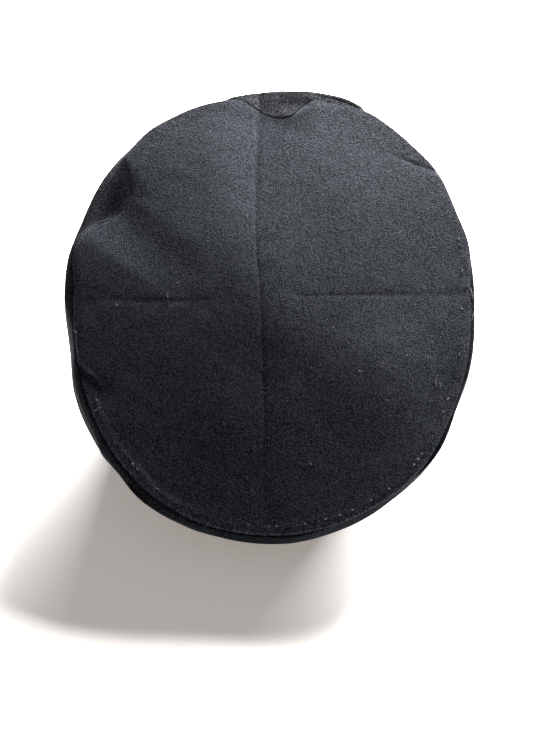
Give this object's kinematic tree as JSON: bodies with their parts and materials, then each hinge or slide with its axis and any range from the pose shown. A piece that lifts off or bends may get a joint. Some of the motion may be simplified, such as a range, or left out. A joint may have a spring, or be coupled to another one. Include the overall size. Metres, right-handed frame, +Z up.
{
  "type": "soft peaked cadet cap",
  "caption": "Soft navy wool cap: oval top panel and side panel slouching over a narrow band, with fold creases, a dent and a short peak.",
  "frame": {"origin": "middle of the cap's plan, on the surface it rests on", "axes": "+Z up, -Y to the front where the peak is, +X to the wearer's left"},
  "size_m": [0.2514, 0.2964, 0.1295],
  "materials": {
    "crown_wool": "matt napped twill, very dark navy, pale fibres and a little lint",
    "side_wool": "matt napped twill, very dark navy, smoother and bluer than the top",
    "band_wool": "matt napped twill, very dark navy, drawn smooth over a woven stay",
    "peak_wool": "matt napped twill, very dark navy, drawn tight over board"
  },
  "bodies": {
    "root": {"crown_top": "crown_wool", "crown_side": "side_wool", "head_band": "band_wool", "peak": "peak_wool"}
  },
  "joints": []
}
